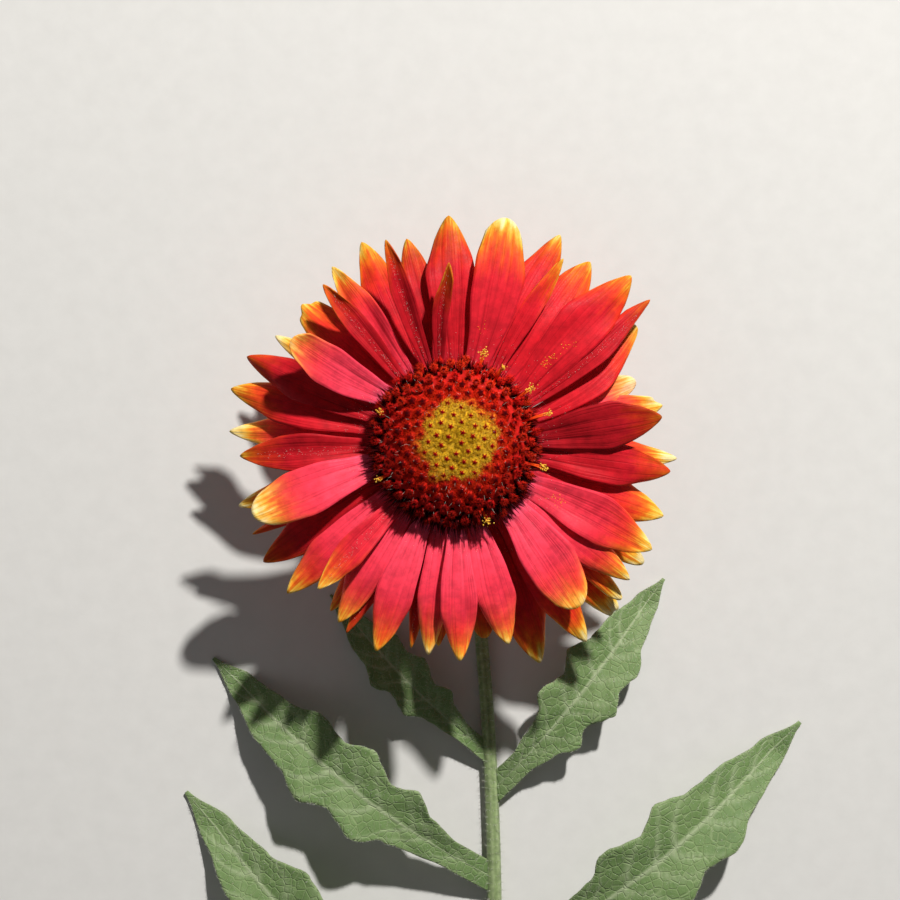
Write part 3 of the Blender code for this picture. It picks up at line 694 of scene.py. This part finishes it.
def on_dome(distance):
    """Radius, height and slope of a point at a distance along the dome's outline from its top."""
    line = ((0.0, DOME_TOP), *reversed(DOME_OUTLINE[1:]))
    for (r0, z0), (r1, z1) in zip(line, line[1:]):
        step = hypot(r1 - r0, z1 - z0)
        if distance <= step:
            share = distance / step
            return r0 + (r1 - r0) * share, z0 + (z1 - z0) * share, atan2(r1 - r0, z0 - z1)
        distance -= step
    return None


def dome_places(spacing):
    """Places on the dome in golden-angle spirals, evenly spaced, as (angle, radius, height, slope)."""
    places, covered, distance, step = [], 0.0, 0.0, 0.02
    cell = spacing * spacing * 0.866
    while True:
        found = on_dome(distance)
        if found is None:
            return places
        r, z, slope = found
        covered += tau * r * step
        if covered >= cell:
            covered -= cell
            places.append((radians(len(places) * GOLDEN_ANGLE), r, z, slope))
        distance += step


def from_middle(spot):
    """Distance from the middle of the disc's yellow zone, which lies a little beside the head's axis."""
    return (Vector((spot.x, spot.y, 0.0)) - YELLOW_MIDDLE).length


def painted_shade_weight(angle):
    """How much painted shade the disc's rim takes at an angle: 1 at the lower left, the side turned from the
    key light, 0 opposite.
    """
    return 0.5 + 0.5 * cos(angle - radians(PAINTED_SHADE_SIDE))


def disc_colour(r, lit):
    """Colour of the disc's fuzz at a radius, from its foot (lit 0) to its tip (lit 1). lit is painted light:
    the foot is dark with painted shade between the hairs as well as with its own darker colour, and the tip
    is lighter and more orange as if lit.
    """
    red = smoothstep(YELLOW_R - 0.2, YELLOW_R + 1.3, r)
    middle = mix(OLIVE, DISC_GOLD, smoothstep(1.5, 6.0, r))
    outer = mix(DISC_RED, DISC_ORANGE, 0.4 * lit * (1.0 - 0.6 * smoothstep(RED_R, OPEN_R + 2.0, r)))
    foot = mix(mix(OLIVE, BUD_MAROON, 0.3), mix(MAROON, DISC_RED, 0.3), red)
    return mix(foot, mix(middle, outer, red), lit)


def make_dome():
    dome = Mesh("tint")
    points, tint = [], []
    # Painted shade: the dome under the florets takes the fuzz's colour with little light (lit 0.25)
    for r, z in DOME_OUTLINE:
        for k in range(DOME_SIDES):
            a = tau * k / DOME_SIDES
            points.append(polar(r, a, z))
            tint.append(disc_colour(r, 0.25))
    points.append(Vector((0.0, 0.0, DOME_TOP)))
    tint.append(disc_colour(0.0, 0.25))
    dome.add(points, tube_faces(len(DOME_OUTLINE), DOME_SIDES, pointed=True), tint=tint)
    finish = tinted_material("disc_base", 0.7, 1500.0, 0.35, 0.0003)
    dome.make("disc_receptacle", finish, HEAD, ("disc_florets", "disc_centre"))


def frame_at(angle, r, z, slope, lean):
    tilt = (pi / 2 - slope) * lean
    out = polar(sin(tilt), angle, cos(tilt))
    side = Vector((-sin(angle), cos(angle), 0.0))
    return polar(r, angle, z), out, side, side.cross(out)


def make_centre_florets():
    """Closed buds in spirals: a dark five-pointed star on each fuzzy mound, yellow inside and red outside."""
    rng = random.Random(11)
    domes, stars, fuzz = Mesh("tint"), Mesh("tint"), Mesh("tint")
    for angle, r, z, slope in dome_places(DISC_SPACING):
        if r > OPEN_R:
            continue
        root, out, side, other = frame_at(angle, r, z, slope, 0.6)
        ragged = rng.gauss(0.0, YELLOW_RAGGED)
        r = from_middle(root)
        grown = smoothstep(YELLOW_R - 0.5, OPEN_R, r)
        size = rng.uniform(0.94, 1.06)
        wide, rise = 1.28 * size, (0.42 + 0.7 * grown) * size
        # Painted shade: each mound is darker at its foot and lighter towards its top
        spike(domes, root - out * 0.5, out, (wide, wide * 0.88, wide * 0.6),
              (0.0, 0.5 + rise * 0.35, 0.5 + rise * 0.8, 0.5 + rise), 12,
              tuple(disc_colour(r + ragged, lit) for lit in (0.25, 0.35, 0.5, 0.55)), angle)
        dark = mix(BUD_MAROON, MAROON, min(1.0, rng.random() * 0.5 + grown))
        broad = (0.62 + 0.14 * grown) * size
        shades = (dark, mix(dark, DISC_RED, 0.4 - 0.3 * grown), mix(dark, MAROON, 0.5))
        spike(stars, root + out * (rise + 0.04 + 0.12 * grown), out, (broad, broad * 0.9, 0.2),
              (0.0, 0.2, 0.3, 0.34), 10, shades, rng.uniform(0, 1.2), 0.4 + 0.2 * grown)
        for _ in range(FUZZ_COUNT):
            a = rng.uniform(0.0, tau)
            ring = sqrt(rng.uniform(0.14 + 0.08 * grown, 1.3))
            spoke = side * cos(a) + other * sin(a)
            foot = root + spoke * (ring * 1.08) + out * (rise * (1.0 - 0.5 * ring**3) - 0.1)
            way = out + spoke * rng.uniform(-0.2, 0.5) + scatter(rng, 0.34)
            away = from_middle(foot) + ragged
            # Painted light on the hairs' tips (lit 0.55 to 1) and painted shade at their feet (lit 0.45)
            tip = mix(disc_colour(away, rng.uniform(0.55, 1.0)), PALE_YELLOW,
                      0.7 * bump(away, YELLOW_R - 1.0, 2.0) * rng.random())
            reach = rng.uniform(0.35, 0.7) * (1.0 + 0.3 * grown + 0.6 * bump(away, YELLOW_R, 1.0))
            # Painted shade: the tips of the outer buds are darker towards the side turned from the key light
            tip = mix(tip, MAROON, painted_shade_weight(angle) * grown * rng.random())
            hair(fuzz, foot, way, reach, 0.055, (disc_colour(away, 0.45), tip))
    bed = tinted_material("disc_beds", 0.6, 2400.0, 0.3, 0.0002, specular=0.1)
    domes.make("centre_domes", bed, HEAD, ("disc_centre",))
    dull = tinted_material("disc_stars", 0.8, 2600.0, 0.2, 0.0001, specular=0.03)
    stars.make("centre_stars", dull, HEAD)
    soft = tinted_material("disc_fuzz", 0.6, 2600.0, 0.2, 0.0001, specular=0.08)
    fuzz.make("centre_fuzz", soft, HEAD)


def make_open_florets():
    """Opened florets: dark tubes that end in brushes of red hairs, some of them with orange tips."""
    rng = random.Random(23)
    tubes, tufts = Mesh("tint"), Mesh("tint")
    for angle, r, z, slope in dome_places(DISC_SPACING):
        if r <= OPEN_R:
            continue
        root, out, side, other = frame_at(angle + rng.uniform(-0.02, 0.02), r, z, slope, 0.8)
        height = rng.uniform(1.3, 1.9) + 0.5 * smoothstep(OPEN_R, 13.0, r)
        wide = rng.uniform(0.40, 0.56)
        spike(tubes, root - out * 0.4, out, (0.42, 0.40, wide, wide * 0.8),
              (0.0, height * 0.5, height * 0.85, height + 0.1, height + 0.2), 10,
              (MAROON, MAROON, *(mix(MAROON, DISC_RED, share) for share in (0.5, 0.3, 0.1))), angle)
        # Painted shade: on the side turned from the key light the brushes are darker and have fewer orange
        # tips
        shade_weight = painted_shade_weight(angle)
        glow = rng.random() * (1.0 - 0.7 * shade_weight)
        for _ in range(BRUSH_COUNT):
            a = rng.uniform(0.0, tau)
            spoke = side * cos(a) + other * sin(a)
            foot = root + out * (height * rng.uniform(0.55, 1.0)) + spoke * (wide * rng.uniform(0.5, 0.95))
            way = out * rng.uniform(0.35, 1.3) + spoke * rng.uniform(0.1, 1.0)
            way += scatter(rng, 0.25)
            tip = mix(DISC_RED, DISC_ORANGE, min(1.0, glow * rng.uniform(0.1, 0.9)))
            tip = mix(tip, MAROON, 0.8 * shade_weight * rng.random())
            base = mix(MAROON, DISC_RED, 0.35 - 0.3 * shade_weight)
            hair(tufts, foot, way, rng.uniform(0.4, 1.0), 0.06, (base, tip))
    tube = tinted_material("disc_tubes", 0.6, 2200.0, 0.3, 0.0002)
    tubes.make("open_florets", tube, HEAD, ("disc_florets",))
    brush = tinted_material("disc_tufts", 0.6, 2600.0, 0.2, 0.0001, specular=0.1)
    tufts.make("open_floret_tufts", brush, HEAD)


def make_rim_bristles():
    """Dark bristles out of the disc over the roots of the rays, and pale hairs between the florets whose
    whiteness is also a painted glint.
    """
    rng = random.Random(37)
    rim = Mesh("tint")
    for k in range(BRISTLE_COUNT):
        angle = tau * k / BRISTLE_COUNT + rng.uniform(-0.02, 0.02)
        rise = radians(rng.uniform(-6.0, 38.0))
        around = rng.gauss(0.0, 0.2)
        out = polar(cos(rise), angle + around, sin(rise))
        root = polar(BRISTLE_ROOT_R, angle, rng.uniform(4.6, 6.0))
        thick = rng.uniform(0.10, 0.26)
        # Painted shade: on the side turned from the key light the bristles are darker and longer, standing in
        # for the disc's shadow on the rays' roots
        shade_weight = painted_shade_weight(angle)
        reach = rng.uniform(2.0, 3.2 + shade_weight) + (4.0 + 4.0 * shade_weight) * (thick - 0.10) * rng.random()
        tip = mix(MAROON, DISC_RED, (0.7 - 0.6 * shade_weight) * rng.random())
        spike(rim, root, out, (thick, thick * 0.75), (0.0, reach * 0.55, reach), 3, (MAROON, MAROON, tip))
    dark = tinted_material("rim_dark", 0.6, 2000.0, 0.2, 0.0001, specular=0.06)
    rim.make("rim_bristles", dark, HEAD)
    # Pale hairs on the disc, their whiteness also a painted glint on the fuzz
    glints = Mesh()
    for angle, r, z, slope in dome_places(GLINT_SPACING):
        if r < GLINTS_FROM or rng.random() < 0.5:
            continue
        root, out, _, _ = frame_at(angle + rng.uniform(-0.05, 0.05), r, z, slope, 0.9)
        out = out + Vector((rng.gauss(0, 0.3), rng.gauss(0, 0.3), rng.gauss(0, 0.2)))
        hair(glints, root + out.normalized() * 0.9, out, rng.uniform(0.9, 1.9), 0.035)
    glints.make("disc_glint_hairs", hair_material(), HEAD)


# Clumps of pollen at the disc's rim: place from the head's middle, height, spread and count of grains
POLLEN_PLACES = ((5.1, 15.9, 8.6, 0.40, 46), (8.5, 13.5, 8.9, 0.24, 20), (13.5, 9.7, 8.6, 0.36, 40),
                 (16.6, 5.3, 7.6, 0.28, 22), (15.8, -4.4, 8.0, 0.32, 30), (5.7, -13.8, 8.0, 0.34, 34),
                 (-13.5, -6.4, 8.0, 0.24, 20), (-13.3, 5.5, 8.2, 0.26, 24))

# Grains fallen on the rays: the ray's number in RAYS, place along it and across it, and how many
POLLEN_DUST = ((5, 0.36, 0.1, 34), (5, 0.50, -0.2, 12), (47, 0.36, -0.1, 22), (9, 0.34, 0.3, 8))


def make_pollen():
    """Clumps of golden grains on spent styles at the disc's rim, and grains fallen from them."""
    rng = random.Random(53)
    styles, grains = Mesh("tint"), Mesh("tint")
    for x, y, z, spread, count in POLLEN_PLACES:
        end = Vector((x, y, z))
        foot = Vector((x, y, 0.0)).normalized() * 12.2 + Vector((0.0, 0.0, 6.4))
        way = end - foot
        around = Vector((-way.y, way.x, 0.0)).normalized()
        for turn in (-0.2, 0.2):
            heights = (0.0, way.length * 0.7, way.length + 0.3)
            spike(styles, foot, way + around * turn, (0.2, 0.15), heights, 5, (DISC_RED, DISC_ORANGE, GOLD))
        for _ in range(count):
            spot = end + scatter(rng, spread) - way.normalized() * rng.uniform(-0.3, 0.7)
            size = rng.uniform(0.08, 0.15)
            colour = mix(POLLEN, PALE_YELLOW, rng.random() * 0.5)
            spike(grains, spot - Vector((0, 0, size)), Vector((0, 0, 1)), (size * 0.5, size, size * 0.7),
                  (0.0, size, size * 1.7, size * 2.0), 6, (colour,) * 4)
    for number, t, u, count in POLLEN_DUST:
        surface, _, _ = ray_parts(RAYS[number], number)
        for _ in range(count):
            spot = Vector(surface(t + rng.gauss(0, 0.025), u + rng.gauss(0, 0.16)))
            size = rng.uniform(0.05, 0.11)
            colour = mix(ORANGE, POLLEN, rng.random())
            spike(grains, spot + Vector((0, 0, RAY_THICK / 2 - 0.02)), Vector((0, 0, 1)), (size, size * 0.8),
                  (0.0, size, size * 1.5), 6, (colour,) * 3)
    smooth = tinted_material("style_finish", 0.5, 2000.0, 0.15, 0.0001)
    styles.make("styles", smooth, HEAD)
    powder = tinted_material("pollen_finish", 0.8, 3000.0, 0.2, 0.0001)
    grains.make("pollen", powder, HEAD)


# Involucre

def make_involucre():
    cup = Mesh("tint")
    points, tint = [], []
    outline = ((STEM_TOP_R, STEM_END + 0.02), *CUP_OUTLINE)
    for row, (r, z) in enumerate(outline):
        for k in range(CUP_SIDES):
            a = tau * k / CUP_SIDES
            rib = 1.0 + (0.03 * cos(10 * a) if 1 < row < len(outline) - 1 else 0.0)
            points.append(polar(r * rib, a, z))
            tint.append(mix(LEAF_GREEN, LEAF_PALE, 0.3 + 0.2 * cos(10 * a)))
    cup.add(points, tube_faces(len(outline), CUP_SIDES), tint=tint)
    finish = tinted_material("cup_green", 0.7, 900.0, 0.3, 0.0003, 0.3)
    cup.make("involucre_cup", finish, HEAD, ("involucre",))

    rng = random.Random(61)
    bracts, down = Mesh("rib", "edge_mm"), Mesh()
    for count, root_z, length, width, fall, first, root_r in BRACT_ROWS:
        for k in range(count):
            a = radians(first + 360.0 * k / count)
            bow = rng.uniform(-3.0, 3.0)

            def surface(t, u, a=a, bow=bow):
                full = 0.75 + 0.25 * sin(pi * min(1.0, t * 1.6))
                half = width / 2 * full * (1.0 - 0.9 * t**1.6)
                drop = radians(fall + 16.0 * t + bow * t)
                r = root_r + length * t * cos(drop)
                z = root_z - length * t * sin(drop) + 0.5 * half * u * u - 0.12 * bump(u, 0.0, 0.2)
                side = half * u
                return (r * cos(a) - side * sin(a), r * sin(a) + side * cos(a), z)

            def values(t, u):
                return {"rib": bump(u, 0.0, 0.13) * (1.0 - 0.5 * t), "edge_mm": width / 2 * (1.0 - abs(u))}

            blade(bracts, surface, 16, 8, lambda t, u: 0.42 - 0.22 * abs(u), values)
            for _ in range(BRACT_HAIRS):
                t, u = rng.random() ** 0.8, rng.choice((-1.0, 1.0)) * rng.uniform(0.2, 1.0)
                root = Vector(surface(t, u))
                way = Vector((-sin(a) * u, cos(a) * u, rng.gauss(-0.2, 0.5)))
                way += polar(1.0, a, 0.0) * rng.uniform(0.0, 0.8)
                hair(down, root, way, rng.uniform(0.5, 1.1), 0.03)
    bracts.make("bracts", leaf_material(), HEAD, ("involucre",))
    down.make("bract_hairs", hair_material(), HEAD)


# Stem and leaves

def make_stem():
    rng = random.Random(83)
    stem, down = Mesh("tint"), Mesh()
    stations = stem_line(FINE_NECK_STEPS, FINE_LYING_STEPS)
    points, tint = [], []
    for i, (plan, height, tangent, radius) in enumerate(stations):
        side = Vector((tangent.y, -tangent.x, 0.0)).normalized()
        up = side.cross(tangent)
        middle = Vector((plan.x, plan.y, height))
        for k in range(STEM_SIDES):
            a = tau * k / STEM_SIDES
            reach = radius * (0.975 + 0.025 * cos(7 * a + 0.01 * i))
            spot = ring_point(middle, side, up, reach, a)
            points.append(Vector((spot.x, spot.y, max(0.0, spot.z))))
            shade = 0.5 + 0.35 * cos(7 * a) + rng.uniform(-0.12, 0.12)
            tint.append(mix(mix(STEM_GREEN, LEAF_GREEN, 0.5), LEAF_PALE, min(1.0, max(0.0, shade))))
            if rng.random() < STEM_HAIR_SHARE:
                out = side * cos(a) + up * sin(a)
                way = out + tangent * rng.uniform(-0.5, 0.5) + scatter(rng, 0.25)
                length = rng.uniform(0.5, 1.3)
                if spot.z + way.normalized().z * length > 0.05:
                    hair(down, spot - out * 0.05, way, length, 0.03)

    # The cut, on the last station: a pale ring of fibre round the pith
    for share, sink, colour in CUT_RINGS:
        for k in range(STEM_SIDES):
            edge = ring_point(middle, side, up, radius * share, tau * k / STEM_SIDES)
            points.append(edge + tangent * sink)
            tint.append(colour)
    stem.add(points, tube_faces(len(stations) + len(CUT_RINGS), STEM_SIDES), tint=tint)
    finish = tinted_material("stem_green", 0.65, 700.0, 0.25, 0.0003, 0.3)
    stem.make("flower_stem", finish, PLANT, ("stem",))
    down.make("stem_hairs", hair_material(), PLANT)


def leaf_share(t, column):
    """Half width of a leaf's side at t, with rounded lobes and valleys."""
    for low, high in zip(LEAF_OUTLINE, LEAF_OUTLINE[1:]):
        if t <= high[0]:
            share = (t - low[0]) / (high[0] - low[0])
            eased = share + (smoothstep(0.0, 1.0, share) - share) * 0.75
            return low[column] + (high[column] - low[column]) * eased
    return LEAF_OUTLINE[-1][column]


def leaf_parts(leaf, number):
    distance, side, angle, length, width, arch, turn = leaf
    plan, tangent, radius = stem_at(distance)
    outward = Vector((tangent.y, -tangent.x)) * side
    forward = Vector((tangent.x, tangent.y))
    root = plan + outward * (radius * 0.75)
    fold = tan(radians(LEAF_FOLD))
    start = radians(angle)
    seed = random.Random(100 + number).random() * 6.28

    def half_width(t, u):
        teeth = abs((t * 19.0 + seed + 0.4 * (u > 0)) % 1.0 - 0.35)
        teeth *= smoothstep(0.15, 0.3, t) * (1.0 - 0.7 * t)
        share = leaf_share(t, 1 if u < 0 else 2) * (1.0 - 0.10 * teeth)
        return width / 2 * (share + 0.03 * sin(31.0 * t + seed) * t * (1.0 - t))

    def rib(t, u):
        middle = bump(u * width / 2, 0.0, 0.5 - 0.3 * t)
        veins = 0.0
        for k in range(9):
            base = 0.10 + 0.09 * k + 0.018 * sin(2.3 * k + seed) + 0.02 * (u > 0)
            veins = max(veins, bump(t - 0.11 * abs(u) ** 1.5, base, 0.0085) * (1.0 - 0.55 * abs(u)))
        return min(1.0, middle + 0.75 * veins)

    def surface(t, u):
        half = half_width(t, u)
        bent = radians(angle - turn * t)
        along = length * t
        way = outward * sin((bent + start) / 2) + forward * cos((bent + start) / 2)
        across = (outward * cos(bent) - forward * sin(bent)) * -side
        spot = root + way * along + across * (half * u)
        near = max(0.0, 1.0 - t / LEAF_ROOT_STRETCH)
        spot = spot + way * (half * u * side * near / tan(start))
        height = LEAF_ROOT_Z * (1.0 - t) ** 2 + arch * sin(pi * t / LEAF_FLAT_FROM)
        height += half * abs(u) * fold * (1.0 - near)
        ripple = 0.75 * u * u * sin(15.0 * t + seed + 2.0 * u)
        ripple += 0.16 * sin(46.0 * t + 8.0 * abs(u) + seed)
        height += ripple * smoothstep(0.1, 0.3, t) * (1.0 - t)
        height -= 0.32 * rib(t, u) * (1.0 - t)
        return spot.x, spot.y, max(SOLID_BLADE / 2, height)

    def thickness(t, u):
        return LEAF_THICK * (1.0 - 0.45 * abs(u) ** 3) + 0.5 * bump(u * width / 2, 0.0, 0.5) * (1.0 - t)

    def values(t, u):
        return {"rib": rib(t, u), "edge_mm": half_width(t, u) * (1.0 - abs(u))}

    return surface, thickness, values


def make_leaves():
    finish, white = leaf_material(), hair_material()
    for number, leaf in enumerate(LEAVES, 1):
        surface, thickness, values = leaf_parts(leaf, number)
        made = Mesh("rib", "edge_mm")
        blade(made, surface, LEAF_ROWS, LEAF_COLUMNS, thickness, values)
        made.make(f"leaf_blade_{number}", finish, PLANT, (f"leaf_{number}",))
        rng = random.Random(200 + number)
        down = Mesh()
        for _ in range(LEAF_HAIRS_PER_MM * leaf[3]):
            t = rng.uniform(0.02, 0.98)
            u = rng.uniform(-1.0, 1.0) if rng.random() < 0.75 else rng.choice((-1.0, 1.0))
            root = Vector(surface(t, u))
            ahead = Vector(surface(min(1.0, t + 0.01), u)) - Vector(surface(max(0.0, t - 0.01), u))
            way = Vector((rng.gauss(0, 0.4), rng.gauss(0, 0.4), 0.75))
            way += ahead.normalized() * rng.uniform(0.2, 1.2)
            hair(down, root + Vector((0, 0, 0.12)), way, rng.uniform(0.35, 0.8), 0.026)
        down.make(f"leaf_hairs_{number}", white, PLANT)


# Camera, lights and floor

PIXELS_PER_MM = 5.65
IMAGE_SIDE = 900
HEAD_PIXEL = (455, 443)
CAMERA_DISTANCE = 520.0
CAMERA_TARGET = 2.0
SENSOR = 36.0
SKY_COLOUR, SKY_STRENGTH = (1.0, 0.98, 0.96, 1.0), 0.10
LIGHTS_FROM_Z = 20.0

# Each light: its place from the head and its size in metres, its power and its colour
LIGHTS = {
    "key": ((0.30, 0.68, 0.67), 0.05, 15.0, (1.0, 0.97, 0.93)),
    "fill": ((-0.6, -0.3, 0.6), 0.6, 0.25, (0.95, 0.97, 1.0)),
}

# The floor in metres, a little below the flower
FLOOR_REACH, FLOOR_Z = 3.0, -0.0002


def make_stage():
    scene = bpy.context.scene
    scene.view_settings.view_transform = "Standard"
    floor_mesh = bpy.data.meshes.new("floor")
    corners = [(x * FLOOR_REACH, y * FLOOR_REACH, FLOOR_Z) for x, y in ((-1, -1), (1, -1), (1, 1), (-1, 1))]
    floor_mesh.from_pydata(corners, [], [(0, 1, 2, 3)])
    s = Shader("floor", 0.7, 0.2)
    grain = s.noise(s.place(), 260.0, 4.0)
    colour = s.ramp(grain, ((0.3, FLOOR_DARK), (0.7, FLOOR_LIGHT)))
    floor_mesh.materials.append(s.finish(colour, grain, 0.0001, 0.2))
    floor = put_in_scene("floor", floor_mesh)

    world = bpy.data.worlds.new("studio")
    scene.world = world
    world.use_nodes = True
    background = world.node_tree.nodes["Background"]
    background.inputs["Color"].default_value = SKY_COLOUR
    background.inputs["Strength"].default_value = SKY_STRENGTH

    target = Vector((HEAD_X, HEAD_Y, LIGHTS_FROM_Z)) * MM
    for name, (place, size, power, colour) in LIGHTS.items():
        light = bpy.data.lights.new(name, "AREA")
        light.shape = "DISK"
        light.size = size
        light.energy = power
        light.color = colour
        lamp = put_in_scene(name, light)
        lamp.location = target + Vector(place)
        lamp.rotation_euler = Vector(place).to_track_quat("Z", "Y").to_euler()

    camera = bpy.data.cameras.new("camera")
    camera.sensor_width = SENSOR
    camera.lens = SENSOR * CAMERA_DISTANCE * PIXELS_PER_MM / IMAGE_SIDE
    camera.clip_start, camera.clip_end = 0.01, 20.0
    eye = put_in_scene("camera", camera)
    # It looks straight down the head's own axis, at a point on that axis
    right, down = ((pixel - IMAGE_SIDE / 2) / PIXELS_PER_MM for pixel in HEAD_PIXEL)
    eye.matrix_world = HEAD @ Matrix.Translation(Vector((-right, down, CAMERA_TARGET + CAMERA_DISTANCE)) * MM)
    scene.camera = eye


make_stage()
make_rays()
make_ray_hairs()
make_dome()
make_centre_florets()
make_open_florets()
make_rim_bristles()
make_pollen()
make_involucre()
make_stem()
make_leaves()
